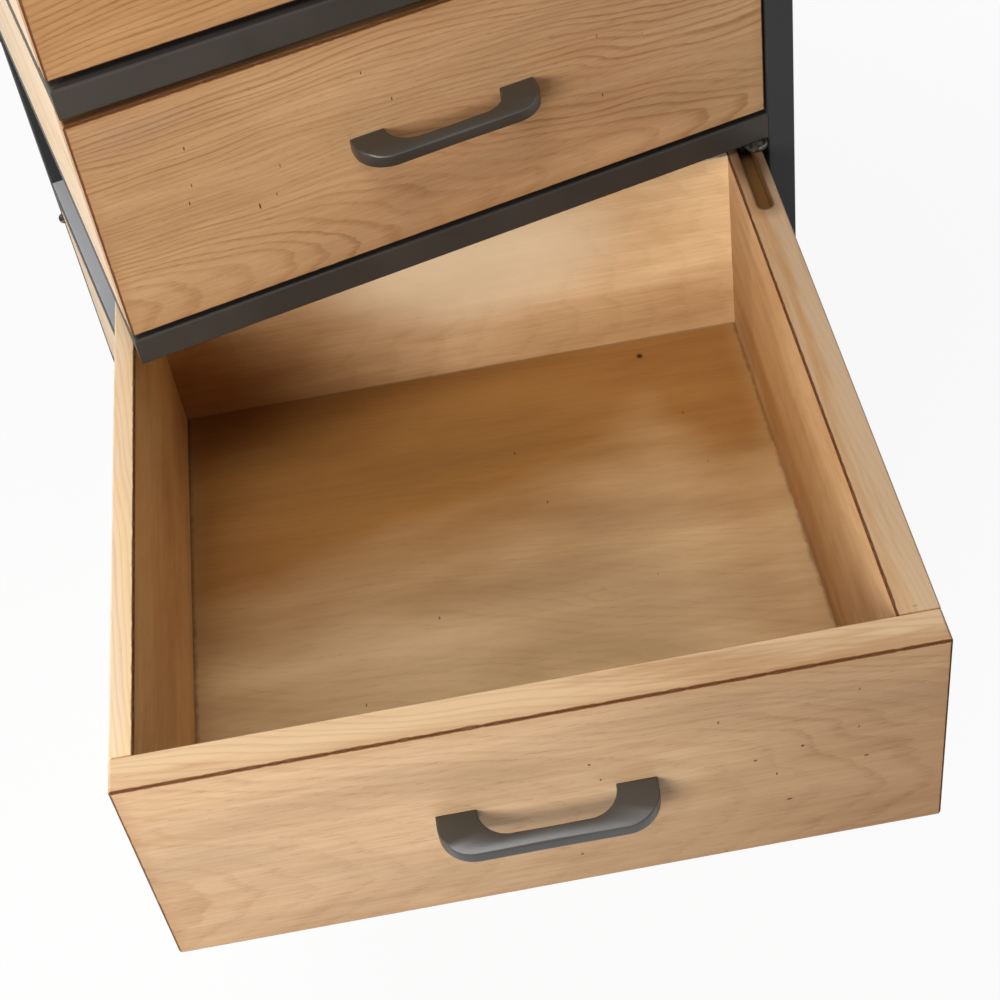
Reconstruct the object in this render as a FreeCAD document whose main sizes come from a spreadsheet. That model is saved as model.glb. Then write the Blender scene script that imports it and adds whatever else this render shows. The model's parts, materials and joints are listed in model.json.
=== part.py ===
import FreeCAD, Part
import os

# A tall narrow chest of seven drawers (a semainier).  Oak drawers stand in an open frame of square
# steel tube: a hoop at every level, three corner posts, and no post at the front left corner.  The
# drawers slide on the hoops.  A stop pin at the rear of each drawer meets a lug beside the front
# post, so a drawer that is pulled right out stays in the chest and can swing a little about its pin.
# The fifth drawer from the top stands open like that.
#
# Axes: X to the right, Y to the back, Z up, millimetres.  The origin lies on the floor in the middle
# of the base hoop.

DRAWERS = range(1, 8)
INSET_DRAWER = 3
OPEN_DRAWER = 5

DRIVING_SIZES = [
    ("drawer_count", 7, "drawers, one above the other"),
    ("front_width", 390, "drawer front, left to right"),
    ("front_height", 141.8, "drawer front, bottom to top"),
    ("front_thickness", 20, "drawer front board"),
    ("drawer_depth", 401, "drawer, front face to rear end"),
    ("left_side_thickness", 12, "left side board"),
    ("right_side_thickness", 21, "right side board, thicker because it holds the stop slot"),
    ("back_thickness", 14, "back board"),
    ("back_inset", 10, "how far the side boards run on behind the back board"),
    ("bottom_thickness", 5, "bottom panel"),
    ("bottom_lift", 5.1, "bottom panel's underside above the side boards' underside"),
    ("groove_depth", 6, "how far the bottom panel is let into the front and side boards"),
    ("tongue_thickness", 6, "tongue that joins one board to the next"),
    ("tongue_depth", 5, "how far a tongue is let in"),
    ("tongue_stop", 15, "tongue's top below the board's upper edge, so that it does not show"),
    ("front_arris", 1.2, "chamfer along the front board's edges"),
    ("arris", 0.8, "chamfer along the other boards' edges"),
    ("tube_width", 18, "square tube of the frame, outside"),
    ("tube_wall", 1.5, "wall of that tube"),
    ("tube_corner", 1.4, "outside corner radius of that tube"),
    ("front_rise", 3.1, "front board's underside above the hoop it stands over"),
    ("front_clearance", 4, "front board's top edge below the next hoop"),
    ("running_clearance", 0.3, "side boards above the steel they slide on"),
    ("side_clearance", 1.5, "drawer to the right-hand posts"),
    ("rear_clearance", 5, "closed drawer to the rear posts"),
    ("inset", 3.5, "how much further in the third drawer stands"),
    ("top_thickness", 20, "top board"),
    ("top_edge", 1.5, "chamfer along the top board's edges"),
    ("runner_flange", 20, "right-hand runner, width of the flange the drawer slides on"),
    ("runner_leg", 15, "right-hand runner, height of the leg fixed to the side tube"),
    ("runner_thickness", 3, "right-hand runner, steel"),
    ("handle_length", 107.5, "handle, left to right"),
    ("handle_projection", 23.5, "handle, front board to its outer face"),
    ("handle_height", 8.6, "handle, bottom to top"),
    ("handle_lift", 2.9, "handle's middle above the middle of the front board"),
    ("handle_bar", 7.3, "handle, front to back across its grip"),
    ("handle_foot", 20, "handle, width of each foot"),
    ("handle_outer_radius", 18, "handle, outer corners seen from above"),
    ("handle_inner_radius", 15.5, "handle, inner corners seen from above"),
    ("handle_fall", 1.8, "handle, fall of its upper face towards the front"),
    ("handle_fall_run", 6.4, "handle, width of the part of its upper face that falls"),
    ("handle_edge", 0.5, "handle, chamfer along its lower edges"),
    ("slot_width", 9, "stop slot in the right side board's upper edge"),
    ("slot_length", 76, "stop slot, end to end"),
    ("slot_depth", 8, "stop slot"),
    ("slot_plunge", 3, "extra depth at the slot's front end, where the cutter went in"),
    ("slot_inset", 10, "middle of the slot from the drawer's right face"),
    ("slot_end_wall", 2, "wood between the slot and the drawer's rear end"),
    ("pin_socket", 10, "depth of the pin's hole below the slot"),
    ("pin_clearance", 0.1, "stop pin to its hole, all round"),
    ("pin_headroom", 1, "stop pin's top below the hoop"),
    ("lug_radius", 7, "stop lug, half-round nose"),
    ("lug_post_gap", 0.5, "stop lug to the front post"),
    ("lug_headroom", 0.7, "stop lug's underside above the drawer"),
    ("lug_clearance", 0.6, "stop lug's tail beside the path of the pin"),
    ("lug_set_back", 2, "middle of the stop lug's nose behind the frame's front face"),
    ("lug_reach", 9, "stop lug's stop face behind the middle of its nose"),
    ("stop_clearance", 0.2, "stop pin to the stop face, drawer pulled out"),
    ("swivel_angle", 15.2, "the open drawer's turn about its stop pin, degrees"),
]

DERIVED_SIZES = [
    ("overall_width", "front_width + side_clearance + tube_width"),
    ("overall_depth", "drawer_depth + rear_clearance + tube_width"),
    ("carcass_left", "-overall_width / 2"),
    ("carcass_front", "-overall_depth / 2"),
    ("drawer_pitch", "tube_width + front_rise + front_height + front_clearance"),
    ("frame_height", "drawer_count * drawer_pitch + tube_width"),
    ("post_height", "frame_height - tube_width"),
    ("right_post_x", "overall_width / 2 - tube_width"),
    ("rear_post_y", "overall_depth / 2 - tube_width"),
    ("inner_x", "carcass_left + tube_width"),
    ("inner_y", "carcass_front + tube_width"),
    ("hoop_inner_width", "overall_width - 2 * tube_width"),
    ("hoop_inner_depth", "overall_depth - 2 * tube_width"),
    ("front_rail_length", "overall_width - tube_width"),
    ("left_rail_length", "overall_depth - tube_width"),
    ("tube_bore", "tube_width - 2 * tube_wall"),
    ("mitre_tool", "2 * tube_width"),
    ("runner_x", "right_post_x - runner_flange"),
    ("runner_z", "tube_width - runner_thickness"),
    ("runner_leg_x", "right_post_x - runner_thickness"),
    ("runner_leg_z", "tube_width - runner_leg"),
    ("box_drop", "front_rise - running_clearance"),
    ("side_height", "front_height + box_drop"),
    ("side_length", "drawer_depth - front_thickness"),
    ("right_side_u", "front_width - right_side_thickness"),
    ("bottom_u", "left_side_thickness - groove_depth"),
    ("bottom_v", "front_thickness - groove_depth"),
    ("bottom_width", "right_side_u - bottom_u + groove_depth"),
    ("bottom_length", "drawer_depth - back_inset - bottom_v"),
    ("back_width", "right_side_u - left_side_thickness"),
    ("back_v", "drawer_depth - back_inset - back_thickness"),
    ("back_w", "bottom_lift + bottom_thickness"),
    ("back_height", "side_height - back_w"),
    ("tongue_height", "back_height - tongue_stop"),
    ("left_tongue_u", "(left_side_thickness - tongue_thickness) / 2"),
    ("right_tongue_u", "right_side_u + (right_side_thickness - tongue_thickness) / 2"),
    ("front_tongue_v", "front_thickness - tongue_depth"),
    ("back_tongue_u", "left_side_thickness - tongue_depth"),
    ("back_tongue_v", "back_v + (back_thickness - tongue_thickness) / 2"),
    ("back_tongue_length", "back_width + 2 * tongue_depth"),
    ("handle_u", "(front_width - handle_length) / 2"),
    ("handle_v", "-handle_projection"),
    ("handle_w", "box_drop + (front_height - handle_height) / 2 + handle_lift"),
    ("grip_u", "handle_u + handle_foot"),
    ("grip_v", "handle_v + handle_bar"),
    ("grip_length", "handle_length - 2 * handle_foot"),
    ("grip_gap", "handle_projection - handle_bar"),
    ("slot_radius", "slot_width / 2"),
    ("slot_u", "front_width - slot_inset - slot_radius"),
    ("slot_w", "side_height - slot_depth"),
    ("plunge_w", "slot_w - slot_plunge"),
    ("plunge_depth", "slot_depth + slot_plunge"),
    ("slot_span", "slot_length - slot_width"),
    ("pin_radius", "slot_radius - pin_clearance"),
    ("pin_u", "front_width - slot_inset"),
    ("pin_v", "drawer_depth - slot_end_wall - slot_radius"),
    ("slot_front_v", "pin_v - slot_span"),
    ("pin_w", "slot_w - pin_socket"),
    ("pin_hole", "slot_depth + pin_socket"),
    ("pin_length", "pin_hole + front_clearance - pin_headroom"),
    ("lug_x", "right_post_x - lug_post_gap - lug_radius"),
    ("lug_y", "carcass_front + lug_set_back"),
    ("lug_width", "2 * lug_radius"),
    ("lug_left", "lug_x - lug_radius"),
    ("lug_stop_y", "lug_y + lug_reach"),
    ("lug_thickness", "front_clearance - lug_headroom"),
    ("lug_z", "drawer_pitch - lug_thickness"),
    ("lug_tail_x", "carcass_left + pin_u + pin_radius + lug_clearance"),
    ("lug_tail_width", "lug_x + lug_radius - lug_tail_x"),
    ("lug_tail_length", "tube_width - lug_set_back - lug_reach"),
    ("lowest_drawer_z", "tube_width + running_clearance"),
    ("inset_y", "carcass_front + inset"),
    ("stopped_pin_y", "lug_stop_y + stop_clearance + pin_radius"),
    ("open_x", "carcass_left + pin_u - pin_u * cos(swivel_angle) - pin_v * sin(swivel_angle)"),
    ("open_y", "stopped_pin_y + pin_u * sin(swivel_angle) - pin_v * cos(swivel_angle)"),
    ("open_turn", "-swivel_angle"),
]

NOWHERE = (None, None, None)

doc = FreeCAD.newDocument("Semainier")


def make_sheet():
    """Write the driving sizes, then the sizes worked out from them, one alias to a row."""
    page = doc.addObject("Spreadsheet::Sheet", "Sizes")
    for row, (alias, size, note) in enumerate(DRIVING_SIZES, start=1):
        page.set(f"A{row}", alias)
        page.set(f"B{row}", str(size))
        page.set(f"C{row}", note)
        page.setAlias(f"B{row}", alias)
    for row, (alias, formula) in enumerate(DERIVED_SIZES, start=len(DRIVING_SIZES) + 2):
        page.set(f"A{row}", alias)
        page.set(f"B{row}", "=" + formula)
        page.setAlias(f"B{row}", alias)
    doc.recompute()


def bind(thing, path, aliases):
    """Tie properties of a feature to cells of the sheet; None leaves a property as it is."""
    for name, alias in aliases.items():
        if alias:
            thing.setExpression(path + name, f"Sizes.{alias}")


def new_body(label, x=None, y=None, z=None, angle=None):
    """A body named for its piece, with its own origin at x, y, z and turned about Z."""
    body = doc.addObject("PartDesign::Body", label)
    body.AllowCompound = True
    body.Placement = turned(1 if angle else 0)
    bind(body, "Placement.Base.", {"x": x, "y": y, "z": z})
    bind(body, "Placement.Rotation.", {"Angle": angle})
    return body


def turned(degrees):
    axis = FreeCAD.Vector(0, 0, 1)
    return FreeCAD.Placement(FreeCAD.Vector(), FreeCAD.Rotation(axis, degrees))


def primitive(body, kind, name, sizes, at, turn=0):
    """Add one PartDesign primitive, its sizes and its position tied to the sheet."""
    block = body.newObject(f"PartDesign::{kind}", name)
    block.Placement = turned(turn)
    bind(block, "", sizes)
    bind(block, "Placement.Base.", dict(zip("xyz", at)))
    doc.recompute()
    return block


def add_box(body, name, size, at=NOWHERE):
    sizes = dict(zip(("Length", "Width", "Height"), size))
    return primitive(body, "AdditiveBox", name, sizes, at)


def cut_box(body, name, size, at=NOWHERE, turn=0):
    sizes = dict(zip(("Length", "Width", "Height"), size))
    return primitive(body, "SubtractiveBox", name, sizes, at, turn)


def add_cylinder(body, name, radius, height, at=NOWHERE):
    return primitive(body, "AdditiveCylinder", name, {"Radius": radius, "Height": height}, at)


def cut_cylinder(body, name, radius, height, at=NOWHERE):
    return primitive(body, "SubtractiveCylinder", name, {"Radius": radius, "Height": height}, at)


def dress(body, kind, name, size, wanted):
    """Chamfer or round the wanted edges of what the body holds so far."""
    base = body.Tip
    names = [f"Edge{i}" for i, edge in enumerate(base.Shape.Edges, start=1) if wanted(edge)]
    feature = body.newObject(f"PartDesign::{kind}", name)
    feature.Base = (base, names)
    bind(feature, "", {"Size" if kind == "Chamfer" else "Radius": size})
    doc.recompute()
    return feature


def every_edge(edge):
    return True


def runs_along(direction):
    """Picks the straight edges that lie along one direction."""

    def wanted(edge):
        return edge.Curve.TypeId == "Part::GeomLine" and abs(edge.Curve.Direction * direction) > 0.99

    return wanted


ALONG_X = runs_along(FreeCAD.Vector(1, 0, 0))
ALONG_Y = runs_along(FreeCAD.Vector(0, 1, 0))
ALONG_Z = runs_along(FreeCAD.Vector(0, 0, 1))


def both(first, second):
    return lambda edge: first(edge) and second(edge)


def either(first, second):
    return lambda edge: first(edge) or second(edge)


def near_y(y):
    """Picks the edges whose middle lies at one depth."""
    return lambda edge: abs(edge.BoundBox.Center.y - y) < 0.01


def at_height(z):
    """Picks the level edges at one height."""
    return lambda edge: edge.BoundBox.ZLength < 0.01 and abs(edge.BoundBox.Center.z - z) < 0.01


def clear_of_board(edge):
    """Picks a handle's edges that do not lie against the front board, whose face is at y = 0."""
    return edge.BoundBox.YMin < -0.01


def at_every_level(body):
    """Repeat the whole body once for every drawer."""
    pattern = body.newObject("PartDesign::LinearPattern", "Levels")
    pattern.TransformMode = "Whole shape"
    pattern.Mode = "Spacing"
    upright = next(o for o in body.Origin.OriginFeatures if o.Role == "Z_Axis")
    pattern.Direction = (upright, [""])
    bind(pattern, "", {"Offset": "drawer_pitch", "Occurrences": "drawer_count"})
    body.Tip = pattern
    doc.recompute()


# ---------------------------------------------------------------- the frame


def make_front_rails():
    """Tubes across the front, mitred at the open corner and butted to the front post."""
    body = new_body("front_rails", "carcass_left", "carcass_front", "drawer_pitch")
    add_box(body, "Tube", ("front_rail_length", "tube_width", "tube_width"))
    dress(body, "Fillet", "TubeCorners", "tube_corner", ALONG_X)
    cut_box(body, "Bore", ("front_rail_length", "tube_bore", "tube_bore"), (None, "tube_wall", "tube_wall"))
    cut_box(body, "Mitre", ("mitre_tool", "mitre_tool", "tube_width"), turn=45)
    at_every_level(body)


def make_left_side_rails():
    """Tubes down the left side, which carry the drawers' left side boards."""
    body = new_body("left_side_rails", "carcass_left", "carcass_front", "drawer_pitch")
    add_box(body, "Tube", ("tube_width", "left_rail_length", "tube_width"))
    dress(body, "Fillet", "TubeCorners", "tube_corner", ALONG_Y)
    cut_box(body, "Bore", ("tube_bore", "left_rail_length", "tube_bore"), ("tube_wall", None, "tube_wall"))
    cut_box(body, "Mitre", ("mitre_tool", "mitre_tool", "tube_width"), turn=-45)
    at_every_level(body)


def make_right_side_rails():
    body = new_body("right_side_rails", "right_post_x", "inner_y", "drawer_pitch")
    add_box(body, "Tube", ("tube_width", "hoop_inner_depth", "tube_width"))
    dress(body, "Fillet", "TubeCorners", "tube_corner", ALONG_Y)
    cut_box(body, "Bore", ("tube_bore", "hoop_inner_depth", "tube_bore"), ("tube_wall", None, "tube_wall"))
    at_every_level(body)


def make_back_rails():
    body = new_body("back_rails", "inner_x", "rear_post_y", "drawer_pitch")
    add_box(body, "Tube", ("hoop_inner_width", "tube_width", "tube_width"))
    dress(body, "Fillet", "TubeCorners", "tube_corner", ALONG_X)
    cut_box(body, "Bore", ("hoop_inner_width", "tube_bore", "tube_bore"), (None, "tube_wall", "tube_wall"))
    at_every_level(body)


def make_base_hoop():
    """The lowest hoop, a solid square bar all round, on which the posts stand."""
    body = new_body("base_hoop", "carcass_left", "carcass_front")
    add_box(body, "Block", ("overall_width", "overall_depth", "tube_width"))
    cut_box(
        body,
        "Inside",
        ("hoop_inner_width", "hoop_inner_depth", "tube_width"),
        ("tube_width", "tube_width", None),
    )
    dress(body, "Fillet", "BarCorners", "tube_corner", either(ALONG_X, ALONG_Y))


def make_post(label, x, y):
    body = new_body(label, x, y, "tube_width")
    add_box(body, "Tube", ("tube_width", "tube_width", "post_height"))
    dress(body, "Fillet", "TubeCorners", "tube_corner", ALONG_Z)
    cut_box(body, "Bore", ("tube_bore", "tube_bore", "post_height"), ("tube_wall", "tube_wall", None))


def make_right_runners():
    """Steel angles on the right-hand tubes; each drawer's right side board slides on a flange."""
    body = new_body("right_runners", None, "inner_y")
    add_box(
        body,
        "Flange",
        ("runner_flange", "hoop_inner_depth", "runner_thickness"),
        ("runner_x", None, "runner_z"),
    )
    add_box(
        body,
        "Leg",
        ("runner_thickness", "hoop_inner_depth", "runner_leg"),
        ("runner_leg_x", None, "runner_leg_z"),
    )
    at_every_level(body)


def make_stop_lugs():
    """Half-round plates under the front rails; each one's flat rear end stops the pin."""
    body = new_body("stop_lugs", None, "lug_y", "lug_z")
    add_cylinder(body, "Nose", "lug_radius", "lug_thickness", ("lug_x", None, None))
    add_box(body, "Plate", ("lug_width", "lug_reach", "lug_thickness"), ("lug_left", None, None))
    add_box(
        body,
        "Tail",
        ("lug_tail_width", "lug_tail_length", "lug_thickness"),
        ("lug_tail_x", "lug_reach", None),
    )
    at_every_level(body)


def make_top_board():
    body = new_body("top_board", "carcass_left", "carcass_front", "frame_height")
    add_box(body, "Board", ("overall_width", "overall_depth", "top_thickness"))
    dress(body, "Chamfer", "Arrises", "top_edge", every_edge)


# ---------------------------------------------------------------- a drawer
#
# Every piece of a drawer is drawn in the drawer's own frame, with its corner at the left, front,
# lower end of the box, and then placed with the whole drawer.


def make_front(body):
    """Front board, grooved behind for the bottom panel and for the side boards' tongues."""
    add_box(body, "Board", ("front_width", "front_thickness", "front_height"), (None, None, "box_drop"))
    dress(body, "Chamfer", "Arrises", "front_arris", every_edge)
    cut_box(
        body,
        "PanelGroove",
        ("bottom_width", "groove_depth", "bottom_thickness"),
        ("bottom_u", "bottom_v", "bottom_lift"),
    )
    tongue = ("tongue_thickness", "tongue_depth", "tongue_height")
    cut_box(body, "LeftMortise", tongue, ("left_tongue_u", "front_tongue_v", "back_w"))
    cut_box(body, "RightMortise", tongue, ("right_tongue_u", "front_tongue_v", "back_w"))


def make_left_side(body):
    add_box(
        body,
        "Board",
        ("left_side_thickness", "side_length", "side_height"),
        (None, "front_thickness", None),
    )
    dress(body, "Chamfer", "Arrises", "arris", ALONG_Y)
    join_side(body, "left_tongue_u")


def make_right_side(body):
    """Right side board, with the stop slot in its upper edge and the pin's hole at the rear."""
    add_box(
        body,
        "Board",
        ("right_side_thickness", "side_length", "side_height"),
        ("right_side_u", "front_thickness", None),
    )
    dress(body, "Chamfer", "Arrises", "arris", ALONG_Y)
    join_side(body, "right_tongue_u")
    cut_box(body, "Slot", ("slot_width", "slot_span", "slot_depth"), ("slot_u", "slot_front_v", "slot_w"))
    cut_cylinder(body, "SlotEnd", "slot_radius", "plunge_depth", ("pin_u", "slot_front_v", "plunge_w"))
    cut_cylinder(body, "PinHole", "slot_radius", "pin_hole", ("pin_u", "pin_v", "pin_w"))


def join_side(body, tongue_u):
    """Give a side board its tongue into the front and its grooves for the bottom and the back."""
    add_box(
        body,
        "Tongue",
        ("tongue_thickness", "tongue_depth", "tongue_height"),
        (tongue_u, "front_tongue_v", "back_w"),
    )
    cut_box(
        body,
        "PanelGroove",
        ("bottom_width", "bottom_length", "bottom_thickness"),
        ("bottom_u", "bottom_v", "bottom_lift"),
    )
    cut_box(
        body,
        "BackMortise",
        ("back_tongue_length", "tongue_thickness", "tongue_height"),
        ("back_tongue_u", "back_tongue_v", "back_w"),
    )


def make_back(body):
    """Back board, standing on the bottom panel between the side boards."""
    add_box(
        body,
        "Board",
        ("back_width", "back_thickness", "back_height"),
        ("left_side_thickness", "back_v", "back_w"),
    )
    dress(body, "Chamfer", "Arrises", "arris", both(ALONG_X, upper_half(body)))
    add_box(
        body,
        "Tongues",
        ("back_tongue_length", "tongue_thickness", "tongue_height"),
        ("back_tongue_u", "back_tongue_v", "back_w"),
    )


def upper_half(body):
    middle = body.Tip.Shape.BoundBox.Center.z
    return lambda edge: edge.BoundBox.Center.z > middle


def make_bottom(body):
    add_box(
        body,
        "Panel",
        ("bottom_width", "bottom_length", "bottom_thickness"),
        ("bottom_u", "bottom_v", "bottom_lift"),
    )


def make_handle(body):
    """Bow handle: broad feet, a round-cornered grip, an upper face that falls to the front."""
    size = ("handle_length", "handle_projection", "handle_height")
    bounds = add_box(body, "Bar", size, ("handle_u", "handle_v", "handle_w")).Shape.BoundBox
    front = near_y(bounds.YMin)
    fall = dress(body, "Chamfer", "Fall", "handle_fall", both(front, at_height(bounds.ZMax)))
    fall.ChamferType = "Two distances"
    bind(fall, "", {"Size2": "handle_fall_run"})
    doc.recompute()
    dress(body, "Fillet", "OuterCorners", "handle_outer_radius", both(ALONG_Z, front))
    cut_box(
        body,
        "FingerGap",
        ("grip_length", "grip_gap", "handle_height"),
        ("grip_u", "grip_v", "handle_w"),
    )
    grip_back = near_y(bounds.YMin + float(doc.Sizes.get("handle_bar")))
    dress(body, "Fillet", "InnerCorners", "handle_inner_radius", both(ALONG_Z, grip_back))
    dress(body, "Chamfer", "Arrises", "handle_edge", both(at_height(bounds.ZMin), clear_of_board))


def make_stop_pin(body):
    add_cylinder(body, "Pin", "pin_radius", "pin_length", ("pin_u", "pin_v", "pin_w"))


DRAWER_PIECES = {
    "front": make_front,
    "left_side": make_left_side,
    "right_side": make_right_side,
    "back": make_back,
    "bottom": make_bottom,
    "handle": make_handle,
    "stop_pin": make_stop_pin,
}


def make_drawer(number):
    place = ["carcass_left", "carcass_front", None]
    if number == INSET_DRAWER:
        place[1] = "inset_y"
    if number == OPEN_DRAWER:
        place = ["open_x", "open_y", "open_turn"]
    x, y, angle = place
    level = DRAWERS[-1] - number
    for piece, make in DRAWER_PIECES.items():
        body = new_body(f"drawer_{number}_{piece}", x, y, angle=angle)
        body.setExpression("Placement.Base.z", f"Sizes.lowest_drawer_z + {level} * Sizes.drawer_pitch")
        make(body)


# ---------------------------------------------------------------- the whole chest


def check(body):
    """Stop if any feature of a body failed or its shape is not sound."""
    for thing in [body] + list(body.Group):
        if "Invalid" in thing.State or "Error" in thing.State:
            raise RuntimeError(f"{body.Label}: {thing.Name} failed")
    if body.Shape.isNull() or not body.Shape.isValid():
        raise RuntimeError(f"{body.Label}: the shape is not sound")


make_sheet()
make_front_rails()
make_left_side_rails()
make_right_side_rails()
make_back_rails()
make_base_hoop()
make_post("post_front_right", "right_post_x", "carcass_front")
make_post("post_back_right", "right_post_x", "rear_post_y")
make_post("post_back_left", "carcass_left", "rear_post_y")
make_right_runners()
make_stop_lugs()
make_top_board()
for drawer in DRAWERS:
    make_drawer(drawer)
doc.recompute()

bodies = [thing for thing in doc.Objects if thing.TypeId == "PartDesign::Body"]
os.makedirs("parts", exist_ok=True)
for piece in bodies:
    check(piece)
for piece in bodies:
    piece.Shape.exportStep(f"parts/{piece.Label}.step")
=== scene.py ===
import json
import math

import bpy
import numpy as np
from mathutils import Matrix, Vector


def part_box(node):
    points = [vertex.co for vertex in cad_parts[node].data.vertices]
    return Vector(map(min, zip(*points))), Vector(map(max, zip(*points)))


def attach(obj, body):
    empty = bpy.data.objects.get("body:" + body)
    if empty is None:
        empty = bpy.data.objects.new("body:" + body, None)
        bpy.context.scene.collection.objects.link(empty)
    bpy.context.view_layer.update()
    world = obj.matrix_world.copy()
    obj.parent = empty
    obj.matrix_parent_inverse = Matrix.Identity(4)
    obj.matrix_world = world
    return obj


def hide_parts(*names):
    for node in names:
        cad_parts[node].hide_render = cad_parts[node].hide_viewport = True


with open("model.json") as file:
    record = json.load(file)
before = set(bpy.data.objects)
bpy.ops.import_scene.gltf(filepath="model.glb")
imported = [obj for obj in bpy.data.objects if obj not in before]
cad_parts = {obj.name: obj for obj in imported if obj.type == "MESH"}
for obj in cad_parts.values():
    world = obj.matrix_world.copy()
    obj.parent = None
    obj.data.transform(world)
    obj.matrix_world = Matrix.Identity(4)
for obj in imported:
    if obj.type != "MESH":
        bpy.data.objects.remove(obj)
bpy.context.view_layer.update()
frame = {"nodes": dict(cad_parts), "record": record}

bl_info = {
    "name": "Oak and Steel Semainier",
    "version": (1, 0, 0),
    "blender": (4, 5, 0),
    "location": "View3D > Sidebar > Semainier",
    "description": "Finishes and small parts for a chest of seven oak drawers in a steel frame",
    "category": "Add Mesh",
}

DRAWERS = range(1, 8)
OPEN_DRAWER = 5
OPEN_TURN = math.radians(-15.2)


# ------------------------------------------------------------------ where the drawers stand


def closed_corner(number):
    """The left, front, lower corner of a closed drawer's box."""
    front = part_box(f"drawer_{number}_front")[0]
    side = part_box(f"drawer_{number}_left_side")[0]
    return Vector((front[0], front[1], side[2]))


def pin_in_drawer():
    """Where the stop pin stands, measured from a drawer's own corner."""
    low, high = (Vector(corner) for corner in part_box("drawer_4_stop_pin"))
    return (low + high) / 2 - closed_corner(4)


def drawer_place(number):
    """The matrix that carries a drawer's own coordinates to where the drawer is at rest."""
    if number != OPEN_DRAWER:
        return Matrix.Translation(closed_corner(number))
    pin = pin_in_drawer()
    low, high = (Vector(corner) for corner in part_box(f"drawer_{number}_stop_pin"))
    turn = Matrix.Rotation(OPEN_TURN, 4, "Z")
    return Matrix.Translation((low + high) / 2) @ turn @ Matrix.Translation(-pin)


def board_box(piece):
    """Lowest and highest corner of a board, measured from its drawer's own corner."""
    corner = closed_corner(4)
    return [Vector(end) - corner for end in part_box(f"drawer_4_{piece}")]


# ------------------------------------------------------------------ shader maths


class Wire:
    """A node's output.  Arithmetic on it adds Math nodes, or Vector Math nodes for vectors."""

    def __init__(self, finish, socket):
        self.finish = finish
        self.socket = socket

    def apply(self, operation, *values):
        """Add the node for one operation on wires, numbers or tuples."""
        vectors = any(isinstance(v, tuple) or is_vector(v) for v in values)
        kind = "ShaderNodeVectorMath" if vectors else "ShaderNodeMath"
        return self.finish.node(kind, {"operation": operation}, dict(enumerate(values)))

    def __add__(self, other):
        return self.apply("ADD", self, other)

    def __radd__(self, other):
        return self.apply("ADD", other, self)

    def __sub__(self, other):
        return self.apply("SUBTRACT", self, other)

    def __rsub__(self, other):
        return self.apply("SUBTRACT", other, self)

    def __mul__(self, other):
        return self.apply("MULTIPLY", self, other)

    def __rmul__(self, other):
        return self.apply("MULTIPLY", other, self)

    def __truediv__(self, other):
        return self.apply("DIVIDE", self, other)

    def __rtruediv__(self, other):
        return self.apply("DIVIDE", other, self)

    def least(self, other):
        return self.apply("MINIMUM", self, other)

    def most(self, other):
        return self.apply("MAXIMUM", self, other)

    def fraction(self):
        return self.apply("FRACT", self)

    def root(self):
        return self.apply("SQRT", self)

    def step(self, low, high, at_low=0.0, at_high=1.0):
        """Goes smoothly from at_low to at_high while this number goes from low to high."""
        return self.finish.node(
            "ShaderNodeMapRange",
            {"interpolation_type": "SMOOTHSTEP"},
            {0: self, 1: low, 2: high, 3: at_low, 4: at_high},
        )

    def parts(self):
        """The three numbers of a vector."""
        split = self.finish.node("ShaderNodeSeparateXYZ", {}, {0: self}).socket.node
        return [Wire(self.finish, socket) for socket in split.outputs]


def is_vector(value):
    return isinstance(value, Wire) and value.socket.type in ("VECTOR", "RGBA")


class Finish:
    """A material, or the world, under construction."""

    def __init__(self, name, kind="materials"):
        self.material = getattr(bpy.data, kind).new(name)
        self.material.use_nodes = True
        self.tree = self.material.node_tree
        self.tree.nodes.clear()

    def node(self, kind, settings, inputs, output=0):
        """Add a node: first its settings, then the values or links of its sockets."""
        made = self.tree.nodes.new(kind)
        for name, setting in settings.items():
            setattr(made, name, setting)
        for key, value in inputs.items():
            if isinstance(value, Wire):
                self.tree.links.new(value.socket, made.inputs[key])
            else:
                made.inputs[key].default_value = value
        return Wire(self, made.outputs[output]) if len(made.outputs) else None

    def place(self, matrix):
        """Coordinates measured in a piece's own frame, given the matrix that places it."""
        back = matrix.inverted()
        where = self.node("ShaderNodeTexCoord", {}, {}, "Object")
        inputs = {"Vector": where, "Location": back.to_translation(), "Rotation": back.to_euler()}
        return self.node("ShaderNodeMapping", {"vector_type": "POINT"}, inputs)

    def vector(self, x, y, z):
        """A vector made of three numbers."""
        return self.node("ShaderNodeCombineXYZ", {}, {0: x, 1: y, 2: z})

    def noise(self, where, scale, detail=2.0, roughness=0.5):
        """Soft noise from 0 to 1."""
        inputs = {"Vector": where, "Scale": scale, "Detail": detail, "Roughness": roughness}
        return self.node("ShaderNodeTexNoise", {}, inputs)

    def specks(self, where, seed, share, size):
        """1 in small round specks, one in each of the texture's cells that draws a high number."""
        cells = {"Vector": where + (seed, seed, seed), "Scale": 1.0}
        middle = self.node("ShaderNodeTexVoronoi", {"feature": "F1"}, cells)
        drawn = Wire(self, middle.socket.node.outputs["Color"]).parts()[0]
        return middle.step(size * 0.5, size, 1.0, 0.0) * drawn.step(1 - share, 1 - share + 0.01)

    def blend(self, factor, first, second, kind="MIX"):
        """Mix two colours."""
        settings = {"data_type": "RGBA", "blend_type": kind}
        return self.node("ShaderNodeMix", settings, {0: factor, 6: first, 7: second}, 2)

    def bump(self, height, strength, distance):
        """A surface direction that follows a height."""
        inputs = {"Height": height, "Strength": strength, "Distance": distance}
        return self.node("ShaderNodeBump", {}, inputs)

    def surface(self, **inputs):
        """Close the material with a Principled shader; underscores stand for spaces."""
        named = {name.replace("_", " "): value for name, value in inputs.items()}
        shader = self.node("ShaderNodeBsdfPrincipled", {}, named)
        self.node("ShaderNodeOutputMaterial", {}, {"Surface": shader})
        return self.material


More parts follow.
